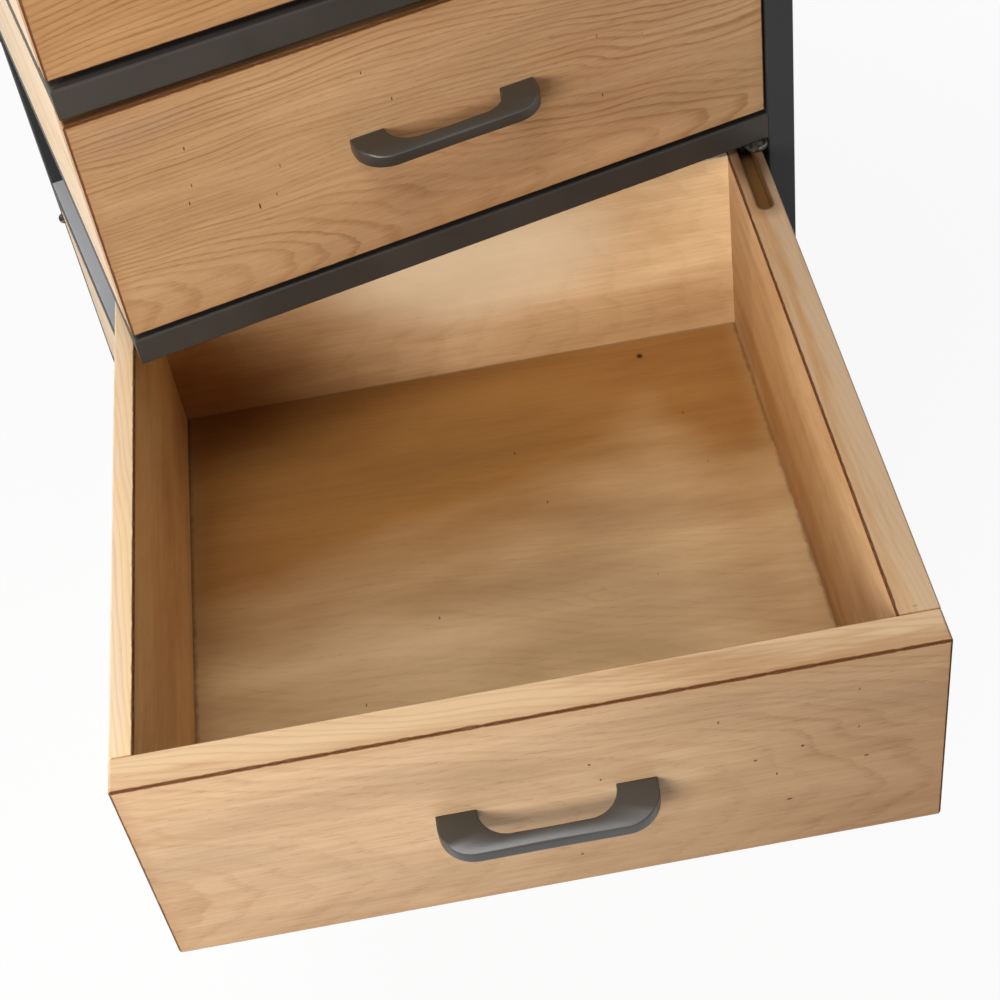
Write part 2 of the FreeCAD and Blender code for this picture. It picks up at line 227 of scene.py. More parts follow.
def rgb(red, green, blue):
    """A colour written in screen values from 0 to 255, as linear light."""
    values = np.array([red, green, blue]) / 255
    linear = np.where(values <= 0.04045, values / 12.92, ((values + 0.055) / 1.055) ** 2.4)
    return (*linear, 1.0)


# ------------------------------------------------------------------ oak

# Each noise: how long and how wide its patches are along and across the grain, in metres, how many
# finer layers it has and how strong those are.  A board's seed moves it along all three axes.
CLOUD = (0.16, 0.05, 3.0, 0.5)
STREAK = (0.12, 0.009, 3.0, 0.6)
FIBRE = (0.03, 0.0013, 3.0, 0.65)
SWAY = (0.20, 0.06, 2.0, 0.5)
PORE = (0.006, 0.0006, 1.0, 0.5)
SEED_SHIFT = (1.0, 1.7, 0.6)

# The growth rings: how far the heart of the log wanders across and through the board, how ragged
# and how unevenly spaced the rings are in metres, and how many times in a metre, along the grain
# and from ring to ring, their spacing and their strength change.
WANDER_ACROSS, WANDER_THROUGH = 0.03, 0.012
RAGGED_RINGS, UNEVEN_RINGS = 0.003, 0.004
SPACING_CHANGES = (1.5, 160.0)
STRENGTH_CHANGES = (2.5, 70.0)

# The small pits: how many cells a metre holds along and across the grain, the share of the cells
# that have a pit, its size in cells and how dark it is.
PITS_ALONG, PITS_ACROSS = 150.0, 60.0
PIT_SHARE, PIT_SIZE, PIT_DARKNESS = 0.06, 0.10, 0.8

# Where each pattern starts and ends and, unless it grows from 0 to 1, the amounts there.  Noise
# runs from 0 to 1 and is mostly near its middle.  A ring runs from 0 to 1 in one year, and its
# dark late wood comes last.  The pores keep to the late wood.
MOST_NOISE = (0.25, 0.75)
GREY_CLOUDS = (0.5, 0.75)
LATE_WOOD, YEAR_END = (0.45, 0.88), (0.92, 1.0, 1.0, 0.0)
STRONG_RINGS = (0.35, 0.65, 0.2, 1.0)
OPEN_PORES, PORES_IN_LATE = (0.58, 0.72), (0.0, 0.6, 0.4, 1.0)
DULL_STREAKS = (0.2, 0.8)

# How near its edges a pool of darkening, painted shade that on the fronts is partly stain, keeps
# its full amount, in metres, and at which squared share of its half widths a mark ends.
POOL_CORE, MARK_END = 0.03, 1.2

# How far from an upper edge's own plane its top face takes another colour: bare wood without glaze,
# but on closed fronts the glaze's dark colour as painted shade under the rail above; how much of it
# goes between the veins, and how brown streaks and grey rings show in the bare wood.
RUBBED = (0.0003, 0.0009)
RUBBED_VEINS = (0.35, 0.7, 0.95, 0.45)
WORN_STREAKS, WORN_RINGS = (0.50, 0.72, 0.0, 0.75), 0.35

# The glaze: the scale of the noise that breaks it, from where to where it is thin, and how thin.
GLAZE_NOISE, GLAZE_BREAKS, GLAZE_THIN = 160.0, (0.3, 0.6), 0.9

# The oil's sheen, how much duller streaks and glaze are, and the relief: how high fibres and late
# wood stand beside the depth of a pore, how strong the relief is and how deep in metres.
OAK_SHEEN, DULLER_STREAKS, DULLER_GLAZE = 0.28, 0.12, 0.5
FIBRE_RISE, LATE_RISE, OAK_RELIEF = 0.5, 0.2, (0.2, 0.0002)


def oak(name, place, box, cut, log, seed):
    """Oiled oak with a dark glaze along some arrises.

    The board is cut from a log whose heart runs near it: the growth rings are the distance from
    a slightly sloping line, so they draw straight grain on one part of a face and arches on
    another.  Clouds, streaks, fibres and pores are noise drawn out along the grain, ever finer.
    Darkening gathers around the edges that the cut names and fades with the root of the summed
    squared
    distances to them: painted shade in the drawer's corners and under the chest, on the fronts
    partly stain.  The glaze follows the edges between one face and its rim: the larger of the
    distance to the face and the distance to the nearest rim plane; the soft brown band beside it is
    darker glaze and painted shade.  On closed fronts the top face takes the glaze's dark colour as
    painted shade under the rail above.
    """
    finish = Finish(name)
    look = cut["look"]
    here = finish.place(place)
    axes = here.parts()
    along, across, through = (axes[i] for i in cut["grain"])

    def drawn_out(length, width, detail, roughness):
        """Noise whose patches are so many metres long and wide."""
        where = finish.vector(along / length, across / width, through / width)
        start = tuple(seed * share for share in SEED_SHIFT)
        return finish.noise(where + start, 1.0, detail, roughness)

    def along_rings(changes):
        """Noise that changes so many times in a metre along the grain and from ring to ring."""
        return finish.noise(finish.vector(along * changes[0], radius * changes[1], seed), 1.0)

    cloud = drawn_out(*CLOUD)
    streak = drawn_out(*STREAK)
    fibre = drawn_out(*FIBRE)
    sway = drawn_out(*SWAY) - 0.5

    side = across - log["heart"][0] + sway * WANDER_ACROSS
    depth = through - log["heart"][1] + along * look["slope"] + sway * WANDER_THROUGH
    radius = (side * side + depth * depth).root() + (streak - 0.5) * RAGGED_RINGS
    uneven = along_rings(SPACING_CHANGES) - 0.5
    ring = ((radius + uneven * UNEVEN_RINGS) / look["ring"]).fraction()
    late = ring.step(*LATE_WOOD) * ring.step(*YEAR_END)
    strong = along_rings(STRENGTH_CHANGES).step(*STRONG_RINGS)
    pore = drawn_out(*PORE).step(*OPEN_PORES) * late.step(*PORES_IN_LATE)
    cells = finish.vector(along * PITS_ALONG, across * PITS_ACROSS, through * PITS_ACROSS)
    pit = finish.specks(cells, seed, PIT_SHARE, PIT_SIZE)

    tone = cloud.step(*MOST_NOISE) * look["cloud"] + streak.step(*MOST_NOISE) * look["streak"]
    tone = tone + fibre.step(*MOST_NOISE) * look["fibre"]
    tone = tone + late * strong * log["lines"]
    colour = finish.blend(tone, look["pale"], look["brown"])
    colour = finish.blend(log["warmth"], colour, look["honey"], "MULTIPLY")
    colour = finish.blend(cloud.step(*GREY_CLOUDS) * look["grey_share"], colour, look["grey"])
    colour = finish.blend(pore * look["pores"], colour, look["pore"])
    colour = finish.blend(pit * PIT_DARKNESS, colour, look["pore"])
    for there, up, wide, tall, strength, shade in log["marks"]:
        aside, above = (along - there) / wide, (across - up) / tall
        spot = (aside * aside + above * above).step(0.0, MARK_END, strength, 0.0)
        colour = finish.blend(spot, colour, look[shade])

    low, high = box
    gap = [(axis - low[i], high[i] - axis) for i, axis in enumerate(axes)]
    # Painted shade, on the fronts partly stain: darkening that gathers at the edges the cut names.
    stain_and_shade = (cloud - 0.5) * look["blotch"]
    for edges, reach, amount in cut["stain_and_shade_pools"]:
        spread = [gap[axis][end] * gap[axis][end] for axis, end in edges]
        away = sum(spread).root()
        stain_and_shade = stain_and_shade + away.step(POOL_CORE, reach, amount * log["glaze"], 0.0)
    colour = finish.blend(stain_and_shade.most(0.0), colour, look["stain"], "MULTIPLY")
    # On closed fronts the top face under the rail takes the glaze's dark colour: painted shade.
    bare = 0.0
    for axis, end in cut["bare"]:
        bare = gap[axis][end].step(*RUBBED, 1.0, 0.0).most(bare)
    if cut["bare"]:
        wear_and_painted_light = look["dark"]
        if log["wear_and_painted_light"]:
            wear_and_painted_light = finish.blend(streak.step(*WORN_STREAKS), look["bare"], look["brown"])
            wear_and_painted_light = finish.blend(late * WORN_RINGS, wear_and_painted_light, look["grey"])
        colour = finish.blend(bare * streak.step(*RUBBED_VEINS), colour, wear_and_painted_light)
    if cut["slot"]:
        colour = soil_slot(finish, colour, axes, gap[2][1], fibre)

    face, rim = cut["face"], cut["rim"]
    nearest = gap[rim[0][0]][rim[0][1]]
    for axis, end in rim[1:]:
        nearest = nearest.least(gap[axis][end])
    edge = nearest.most(gap[face[0]][face[1]])
    # Painted shade, partly darker glaze: a soft brown band along the glazed edges, most of all
    # where the back meets the bottom and round the bottom panel.
    glaze_and_shade_halo = edge.step(0.0, look["glaze_and_shade_width"], look["glaze_and_shade_halo"], 0.0)
    colour = finish.blend(glaze_and_shade_halo, colour, look["brown"])
    broken = finish.noise(here, GLAZE_NOISE)
    ragged = edge + (broken - 0.5) * look["rag"]
    line = ragged.step(look["glaze_from"], look["glaze_to"], 1.0, 0.0)
    line = line * broken.step(*GLAZE_BREAKS, look["glaze"] * GLAZE_THIN, look["glaze"])
    colour = finish.blend(line, colour, look["dark"])

    dull = streak.step(*DULL_STREAKS, look["rough"], look["rough"] + DULLER_STREAKS)
    height = fibre * FIBRE_RISE - pore + late * LATE_RISE
    return finish.surface(
        Base_Color=colour,
        Roughness=dull + line * DULLER_GLAZE,
        Specular_IOR_Level=OAK_SHEEN,
        Normal=finish.bump(height, *OAK_RELIEF),
    )


# The stop slot: half its width, how far its round end lies in front of the pin and how ragged its
# stains are.
SLOT_HALF, SLOT_RUN, SLOT_RAG = 0.0045, 0.067, 0.001

# How far stained wood, painted shade at the slot's rear and a dark rim reach beyond the slot's
# wall, with their amounts there.
STAIN_REACH, STAIN_AMOUNTS = 0.012, (0.55, 0.0)
SHADE_REACH, SHADE_AMOUNTS = 0.014, (0.8, 0.2)
RIM_REACH, RIM_AMOUNTS = 0.0016, (0.8, 0.0)

# Where the painted shade by the rail sets in along the drawer and how deep below the upper edge
# it goes; how far outside its wall the slot's own colour ends; how deep and where along the
# drawer its floor and its dark rear end, painted shade under the rail, begin; how deep the hole
# in it begins, painted dark as shade; and how much the floor's colour covers.
SHADED_LENGTH, SHADED_DEPTH = (0.335, 0.368), (0.0, 0.004, 1.0, 0.0)
WALL_FROM, WALL_TO = 0.0003, 0.0006
FLOOR_DEPTH, DARK_FLOOR, HOLE_DEPTH = (0.001, 0.0016), (0.35, 0.40), (0.009, 0.010)
FLOOR_COVER = 0.92
SLOT_STAIN = rgb(122, 88, 56)
SLOT_PAINTED_SHADE = rgb(66, 38, 14)
SLOT_RIM = rgb(70, 44, 22)
SLOT_FLOOR, SLOT_FLOOR_SHADE = rgb(124, 88, 46), rgb(60, 40, 20)
SLOT_HOLE_SHADE = rgb(48, 36, 24)


def soil_slot(finish, colour, axes, below_top, fibre):
    """Darken the stop slot: its floor, its rim and the wood beside it.

    All of it follows the distance to the line along the slot's middle, which ends at the centre
    of its round end.
    """
    pin = pin_in_drawer()
    ahead = ((pin.y - SLOT_RUN) - axes[1]).most(0.0)
    off = axes[0] - pin.x
    reach = (off * off + ahead * ahead).root() + (fibre - 0.5) * SLOT_RAG
    beside = reach.step(SLOT_HALF, SLOT_HALF + STAIN_REACH, *STAIN_AMOUNTS)
    colour = finish.blend(beside, colour, SLOT_STAIN)
    # Painted shade: the rear of the slot near the rail, by the upper edge, goes dark.
    rear = axes[1].step(*SHADED_LENGTH) * below_top.step(*SHADED_DEPTH)
    shaded_rear = reach.step(SLOT_HALF, SLOT_HALF + SHADE_REACH, *SHADE_AMOUNTS) * rear
    colour = finish.blend(shaded_rear, colour, SLOT_PAINTED_SHADE)
    rim = reach.step(SLOT_HALF, SLOT_HALF + RIM_REACH, *RIM_AMOUNTS)
    colour = finish.blend(rim, colour, SLOT_RIM)
    inside = reach.step(SLOT_HALF + WALL_FROM, SLOT_HALF + WALL_TO, 1.0, 0.0)
    sunk = below_top.step(*FLOOR_DEPTH) * inside
    # Painted shade: the floor's rear end under the rail and the hole are darker.
    floor = finish.blend(axes[1].step(*DARK_FLOOR), SLOT_FLOOR, SLOT_FLOOR_SHADE)
    floor = finish.blend(below_top.step(*HOLE_DEPTH), floor, SLOT_HOLE_SHADE)
    return finish.blend(sunk * FLOOR_COVER, colour, floor)


# A look's colours, then its numbers: how steeply the grain leaves the board and how wide a ring
# is; how much clouds, streaks, fibres and grey patches show; the least roughness; how strong and
# wide the soft brown band along the glazed edges is, darker glaze and painted shade; how much the
# pores and the uneven stain show; how ragged the glaze is, where it starts to fade, where it ends
# and how strong it is.  The stain colour also tints the painted shade that gathers at the edges.
OAK_FRONT = {
    "pale": rgb(224, 189, 149),
    "brown": rgb(168, 124, 80),
    "grey": rgb(176, 150, 120),
    "pore": rgb(78, 50, 28),
    "dark": rgb(84, 44, 12),
    "stain": rgb(176, 150, 112),
    "honey": rgb(232, 214, 190),
    "bare": rgb(216, 184, 144),
    "slope": 0.12,
    "ring": 0.0032,
    "cloud": 0.30,
    "streak": 0.22,
    "fibre": 0.22,
    "grey_share": 0.35,
    "rough": 0.42,
    "glaze_and_shade_halo": 0.35,
    "glaze_and_shade_width": 0.010,
    "pores": 0.25,
    "blotch": 0.3,
    "rag": 0.0010,
    "glaze_from": 0.0009,
    "glaze_to": 0.0016,
    "glaze": 1.0,
}
OAK_BOX = dict(
    OAK_FRONT,
    pale=rgb(238, 206, 162),
    cloud=0.5,
    pores=0.12,
    brown=rgb(188, 140, 88),
    grey=rgb(196, 160, 120),
    stain=rgb(176, 138, 72),
    bare=rgb(226, 200, 170),
    grey_share=0.25,
    glaze_from=0.0009,
    glaze_to=0.0017,
    glaze_and_shade_halo=0.2,
)
OAK_PANEL = dict(
    OAK_FRONT,
    pale=rgb(234, 206, 162),
    brown=rgb(178, 142, 94),
    grey=rgb(190, 166, 132),
    pores=0.12,
    cloud=0.45,
    streak=0.15,
    fibre=0.10,
    stain=rgb(180, 147, 102),
    blotch=0.6,
    glaze_and_shade_halo=0.5,
    glaze_and_shade_width=0.02,
    rag=0.004,
    glaze_from=0.006,
    glaze_to=0.009,
    glaze=0.6,
)

# How each board is cut and finished: the drawer's axes that run along the grain, across it and
# through the board; the face whose edges are glazed and the rim planes that bound it, each as an
# axis and an end of it; the edges where darkening gathers, with its reach and amount, which is
# painted shade, on the fronts partly stain; the faces without glaze, which on closed fronts take
# the glaze's dark colour as painted shade under the rail above; and whether the stop slot is in
# the board.
LEFT, RIGHT, NEAR, FAR, UNDER, TOP = (0, 0), (0, 1), (1, 0), (1, 1), (2, 0), (2, 1)
AROUND = (LEFT, RIGHT, NEAR, FAR)
BOARDS = {
    "front": {
        "grain": (0, 2, 1),
        "face": NEAR,
        "rim": (LEFT, RIGHT, UNDER, TOP),
        # Painted shade, partly stain: the front darkens towards its lower right corner and lower
        # edge.
        "stain_and_shade_pools": (((RIGHT, UNDER), 0.26, 0.60), ((UNDER,), 0.05, 0.15)),
        "bare": (TOP,),
        "slot": False,
        "look": OAK_FRONT,
    },
    "left_side": {
        "grain": (1, 2, 0),
        "face": RIGHT,
        "rim": (TOP,),
        # Painted shade: the inner wall darkens towards the bottom.
        "stain_and_shade_pools": (((UNDER,), 0.15, 0.16),),
        "bare": (TOP, LEFT),
        "slot": False,
        # Painted light: the left side takes a paler copy of the oak, as the lamps leave its inner
        # face in shade.
        "look": dict(OAK_BOX, pale=rgb(255, 230, 178), brown=rgb(216, 170, 108)),
    },
    "right_side": {
        "grain": (1, 2, 0),
        "face": LEFT,
        "rim": (TOP,),
        # Painted shade darkens the wall towards the bottom; it is also a little darker towards its
        # top.
        "stain_and_shade_pools": (((UNDER,), 0.18, 0.70), ((TOP,), 0.16, 0.15)),
        "bare": (TOP, RIGHT),
        "slot": True,
        # Painted shade: a darker bare colour for the right side's top edge, farther from the lamps.
        "look": dict(OAK_BOX, bare=rgb(202, 174, 142)),
    },
    "back": {
        "grain": (0, 2, 1),
        "face": NEAR,
        "rim": (UNDER,),
        # Painted shade: the back darkens towards its lower left corner, under the chest, and lower
        # edge.
        "stain_and_shade_pools": (((LEFT, UNDER), 0.20, 0.55), ((UNDER,), 0.06, 0.15)),
        "bare": (TOP, FAR),
        "slot": False,
        "look": dict(
            OAK_BOX,
            pale=rgb(248, 217, 171),
            brown=rgb(196, 150, 98),
            # Painted light: a paler oak for the pool of light on the back.
            painted_light_patch=rgb(255, 234, 198),
            glaze=0.5,
        ),
    },
    "bottom": {
        "grain": (0, 1, 2),
        "face": TOP,
        "rim": AROUND,
        # Painted shadow: the bottom darkens towards its rear left, under the chest, and along its
        # right wall.
        "stain_and_shade_pools": (((LEFT, FAR), 0.41, 1.0), ((FAR,), 0.24, 0.85), ((RIGHT,), 0.08, 0.35)),
        "bare": (),
        "slot": False,
        "look": OAK_PANEL,
    },
}
SLAB = dict(BOARDS["bottom"], stain_and_shade_pools=(), look=OAK_FRONT)

# For every drawer: how strongly the growth rings show, how warm the wood is, how strongly stain and
# painted shade gather on its front, whether the top face of its front is bare wood (true) instead
# of painted dark as shade under the rail above (false), and where the heart of the log lay,
# measured across and through the board from the drawer's corner.
LOGS = {
    number: dict(zip(("lines", "warmth", "glaze", "wear_and_painted_light", "heart"), row))
    for number, row in {
        1: (0.40, 0.5, 0.5, False, (0.09, -0.10)),
        2: (0.35, 0.4, 0.6, False, (0.16, -0.05)),
        3: (0.40, 1.0, 0.4, False, (0.12, -0.07)),
        4: (0.50, 0.65, 0.0, False, (0.012, -0.024)),
        5: (0.18, 0.0, 1.0, True, (0.05, -0.16)),
        6: (0.40, 0.4, 0.5, False, (0.10, -0.04)),
        7: (0.35, 0.4, 0.6, False, (0.03, -0.12)),
    }.items()
}
SLAB_LOG = {
    "lines": 0.4,
    "warmth": 0.5,
    "glaze": 1.0,
    "wear_and_painted_light": False,
    "heart": (0.05, -0.05),
    "marks": (),
}
SLAB_SEED = 3.1

# Small dark pits, one pin knot and one pale patch of painted light on the back: where each lies
# along and across the grain, measured from the drawer's corner, its half widths along and across,
# its strength and its tone.
MARKS = {
    (4, "front"): (
        (0.0537, 0.0863, 0.0004, 0.0014, 1.0, "pore"),
        (0.0501, 0.0758, 0.0005, 0.0016, 1.0, "pore"),
        (0.0859, 0.0589, 0.0007, 0.0024, 1.0, "pore"),
        (0.0963, 0.0629, 0.0004, 0.0013, 1.0, "pore"),
        (0.1546, 0.1191, 0.0004, 0.0013, 1.0, "pore"),
    ),
    (5, "front"): (
        (0.3506, 0.0668, 0.0014, 0.0008, 1.0, "pore"),
        (0.3125, 0.0415, 0.0018, 0.0008, 1.0, "pore"),
        (0.2964, 0.0788, 0.0012, 0.0008, 1.0, "pore"),
        (0.3194, 0.0841, 0.0010, 0.0012, 1.0, "pore"),
        (0.2174, 0.0999, 0.0010, 0.0008, 1.0, "pore"),
        (0.2218, 0.0862, 0.0006, 0.0010, 1.0, "pore"),
        (0.2078, 0.0265, 0.0010, 0.0008, 1.0, "pore"),
    ),
    # A painted pool of light on the open drawer's back.
    (5, "back"): ((0.205, 0.100, 0.108, 0.055, 0.75, "painted_light_patch"),),
    (5, "bottom"): ((0.3038, 0.3621, 0.0024, 0.0026, 1.0, "pore"),),
}


# What one drawer, and one letter in a board's name, add to the start of a board's noise.
SEED_STEPS = (7.3, 1.9)


def finished_cut(cut, oak_look):
    """A cut of board with the colours that the user has set for the oak."""
    look = dict(cut["look"], dark=tuple(oak_look.glaze))
    if cut["look"] is OAK_FRONT:
        look.update(pale=tuple(oak_look.pale), brown=tuple(oak_look.brown))
    return dict(cut, look=look)


def paint_boards(piece, oak_look):
    """Give one board of every drawer its own cut of oak."""
    cut = finished_cut(BOARDS[piece], oak_look)
    for number in DRAWERS:
        node = f"drawer_{number}_{piece}"
        seed = SEED_STEPS[0] * number + SEED_STEPS[1] * len(piece)
        log = dict(LOGS[number], marks=MARKS.get((number, piece), ()))
        if piece != "front":
            log = dict(log, lines=log["lines"] * 0.5, warmth=0.0, glaze=1.0, wear_and_painted_light=True)
        give(node, oak(node, drawer_place(number), board_box(piece), cut, log, seed))


def give(node, material):
    """Put a finish on a CAD node."""
    slots = frame["nodes"][node].data.materials
    slots.clear()
    slots.append(material)


# ------------------------------------------------------------------ steel

# The scale of each noise; how much lighter the lacquer is where it is cloudy, where its clouds set
# in, where they dull it and by how much it is smoother or duller there.
LACQUER_CLOUDS, LACQUER_GRIT, STEEL_STAINS = 14.0, 1400.0, 260.0
LACQUER_LIGHTER, CLOUDY = 1.35, (0.35, 0.7)
DULL_CLOUDS, SMOOTHER, DULLER = (0.2, 0.8), 0.05, 0.08

# How strong the relief of lacquer and bare steel is, and how deep in metres.
LACQUER_RELIEF, STEEL_RELIEF, GRIT_DEPTH = 0.25, 0.2, 0.0002

# How much of the other colour a face takes by how far it looks up: painted shade around an
# arris, and a pale painted sheen, partly wear, on the side rails' flats.
ARRIS_UP, FLAT_UP = (0.25, 0.75, 0.0, 0.7), (0.8, 0.95, 0.0, 0.9)

# Bare steel: where its stains set in, where they dull it and from what to what, how metallic it is.
STAINED, DULL_STAINS, METAL = (0.35, 0.6), (0.3, 0.7, 0.3, 0.6), 0.9

# The side rails' flats take a pale painted sheen, partly wear from the drawers: how far behind
# the front corner that starts, and over what length it grows.
SHEEN_BEHIND, SHEEN_OVER = 0.02, 0.28

# Painted shade on the upward arrises of the tubes.
PAINTED_ARRIS_SHADE = rgb(32, 29, 26)
# A pale painted sheen, partly wear, for the side rails' flats.
RUBBED_PAINTED_SHEEN = rgb(196, 198, 202)
# Painted shade: the posts take a darker, greyer copy of the lacquer.
POST_PAINTED_SHADE = rgb(41, 42, 42)
HANDLE_SHADE = rgb(45, 42, 37)
HANDLE_SMOOTHER, HANDLE_SHEEN = 0.22, 0.65
BRIGHT_STEEL, STAINED_STEEL = rgb(150, 146, 138), rgb(52, 46, 40)


def lacquered_steel(name, colour, rough, sheen=0.3, above=None, rubbed_sheen=False):
    """Satin powder lacquer: a very fine orange peel, slight cloudiness, other colour above.

    Where the faces look up, the colour goes to the one given: painted shade from the rounded
    arris on, or, on the side rails, a pale painted sheen, partly wear, only on the flat behind
    the front corner.
    """
    finish = Finish(name)
    where = finish.node("ShaderNodeTexCoord", {}, {}, "Object")
    cloud = finish.noise(where, LACQUER_CLOUDS, 3.0)
    grit = finish.noise(where, LACQUER_GRIT)
    lighter = (*(min(1.0, channel * LACQUER_LIGHTER) for channel in colour[:3]), 1.0)
    shade = finish.blend(cloud.step(*CLOUDY), colour, lighter)
    if above:
        up = finish.node("ShaderNodeNewGeometry", {}, {}, "Normal").parts()[2]
        amount = up.step(*ARRIS_UP)
        # Painted sheen, partly wear: the side rails' upward flats, from behind the front corner on.
        if rubbed_sheen:
            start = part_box("left_side_rails")[0][1] + SHEEN_BEHIND
            wear_and_painted_light = where.parts()[1].step(start, start + SHEEN_OVER)
            amount = up.step(*FLAT_UP) * wear_and_painted_light
        shade = finish.blend(amount, shade, above)
    return finish.surface(
        Base_Color=shade,
        Roughness=cloud.step(*DULL_CLOUDS, rough - SMOOTHER, rough + DULLER),
        Specular_IOR_Level=sheen,
        Normal=finish.bump(grit, LACQUER_RELIEF, GRIT_DEPTH),
    )


def bare_steel(name):
    """Cut steel without lacquer, blotched with dark stains."""
    finish = Finish(name)
    where = finish.node("ShaderNodeTexCoord", {}, {}, "Object")
    stain = finish.noise(where, STEEL_STAINS, 3.0)
    shade = finish.blend(stain.step(*STAINED), BRIGHT_STEEL, STAINED_STEEL)
    return finish.surface(
        Base_Color=shade,
        Metallic=METAL,
        Roughness=stain.step(*DULL_STAINS),
        Normal=finish.bump(stain, STEEL_RELIEF, GRIT_DEPTH),
    )


# ------------------------------------------------------------------ meshes


def new_piece(name, points, faces, body, material):
    """A mesh object at the origin that rides on a body; its last two faces are flat ends."""
    mesh = bpy.data.meshes.new(name)
    mesh.from_pydata(points.reshape(-1, 3).tolist(), [], faces)
    smooth = np.ones(len(faces), dtype=bool)
    smooth[-2:] = False
    mesh.polygons.foreach_set("use_smooth", smooth)
    mesh.materials.append(material)
    mesh.update()
    piece = bpy.data.objects.new(name, mesh)
    bpy.context.scene.collection.objects.link(piece)
    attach(piece, body)
    return piece


def grid_faces(rows, columns):
    """Quads of a grid whose rows close on themselves, then a flat face over either end."""
    here = np.arange(rows * columns).reshape(rows, columns)
    right = np.roll(here, -1, axis=1)
    quads = np.stack([here[:-1], here[1:], right[1:], right[:-1]], axis=-1).reshape(-1, 4)
    return [*quads.tolist(), here[0].tolist(), here[-1, ::-1].tolist()]


def moved(points, matrix):
    """Points carried by a matrix."""
    turn = np.array(matrix.to_3x3())
    return points @ turn.T + np.array(matrix.to_translation())


# ------------------------------------------------------------------ sizes and colours


def number_property(name, default, description, **limits):
    """A number, with its limits and its unit or subtype."""
    return bpy.props.FloatProperty(
        name=name, description=description, default=default, **limits
    )


def length_property(name, default, description):
    """A length in metres."""
    return number_property(name, default, description, min=0, unit="LENGTH")


def power_property(name, default, description):
    """The power of a lamp in watts."""
    return number_property(name, default, description, min=0, unit="POWER")


def share_property(name, default, description):
    """A number from 0 to 1."""
    return number_property(name, default, description, min=0, max=1, subtype="FACTOR")


def colour_property(name, default, description):
    """A colour in linear light."""
    return bpy.props.FloatVectorProperty(
        name=name,
        description=description,
        default=default,
        size=4,
        min=0,
        max=1,
        subtype="COLOR",
    )


class OakLook(bpy.types.PropertyGroup):
    """The oiled oak"""

    pale: colour_property("Pale Wood", OAK_FRONT["pale"], "Lightest colour of the fronts")
    brown: colour_property("Brown Wood", OAK_FRONT["brown"], "Colour of the fronts' grain")
    glaze: colour_property("Glaze", OAK_FRONT["dark"], "Colour of the dark lines along edges")


class HandleShape(bpy.types.PropertyGroup):
    """The bow handle, seen from above: two feet and a grip that joins them"""

    length: length_property("Length", 0.1075, "From one end of the handle to the other")
    reach: length_property("Reach", 0.0235, "How far the grip stands out from the board")
    height: length_property("Height", 0.0086, "From lower to upper face at the board")
    bar: length_property("Bar", 0.0073, "How thick the grip is from front to back")
    foot: length_property("Foot", 0.020, "How wide each foot is on the board")
    outer: length_property("Outer Corner", 0.018, "Radius of the corners seen from the front")
    inner: length_property("Inner Corner", 0.0155, "Radius of the corners the fingers touch")
    fall: length_property("Fall", 0.0018, "How much the upper face drops towards the front")
    arris: length_property("Arris", 0.0009, "Radius of the four long edges")


class BoltShape(bpy.types.PropertyGroup):
    """The domed bolt heads on the rear left post"""

    radius: length_property("Radius", 0.004, "Radius of a bolt head")
    rise: length_property("Rise", 0.0035, "How far a head stands out from the post")
    drop: length_property("Drop", 0.031, "How far a head sits below the middle of its rail")


class SteelLook(bpy.types.PropertyGroup):
    """The frame's satin lacquer"""

    colour: colour_property("Colour", rgb(54, 49, 44), "Colour of the lacquer on the tubes")
    rough: share_property("Roughness", 0.56, "How dull the lacquer on the tubes is")


class StageLook(bpy.types.PropertyGroup):
    """Camera and light"""

    lens: number_property("Lens", 69.434, "Focal length of the camera", unit="CAMERA")
    stand: bpy.props.FloatVectorProperty(
        name="Camera",
        description="Where the camera stands",
        default=(-0.24683, -1.03658, 1.20915),
        subtype="TRANSLATION",
    )
    shift: number_property("Lens Shift", -0.1063, "How far the lens is shifted, in sensor widths")
    window: power_property("Window", 14.5, "Soft light from the front left")
    ceiling: power_property("Ceiling Light", 12.0, "Soft light from above the camera")
    side: power_property("Side Light", 7.0, "Soft light from the far left")
    air: share_property("Air", 0.07, "Strength of the light from all round")


# ------------------------------------------------------------------ operators


class SEMAINIER_OT_fronts(bpy.types.Operator):
    """Finish the seven drawer fronts in honey-brown oak"""

    bl_idname = "semainier.fronts"
    bl_label = "Drawer Fronts"

    def execute(self, context):
        paint_boards("front", context.scene.semainier_oak)
        return {"FINISHED"}


class SEMAINIER_OT_sides(bpy.types.Operator):
    """Finish the drawers' side boards and backs in paler oak"""

    bl_idname = "semainier.sides"
    bl_label = "Drawer Sides and Backs"

    def execute(self, context):
        for piece in ("left_side", "right_side", "back"):
            paint_boards(piece, context.scene.semainier_oak)
        return {"FINISHED"}


class SEMAINIER_OT_bottoms(bpy.types.Operator):
    """Finish the thin bottom panels"""

    bl_idname = "semainier.bottoms"
    bl_label = "Drawer Bottoms"

    def execute(self, context):
        paint_boards("bottom", context.scene.semainier_oak)
        return {"FINISHED"}


class SEMAINIER_OT_top_board(bpy.types.Operator):
    """Finish the board on top of the frame"""

    bl_idname = "semainier.top_board"
    bl_label = "Top Board"

    def execute(self, context):
        cut = finished_cut(SLAB, context.scene.semainier_oak)
        box = [Vector(end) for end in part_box("top_board")]
        give("top_board", oak("top_board", Matrix(), box, cut, SLAB_LOG, SLAB_SEED))
        return {"FINISHED"}


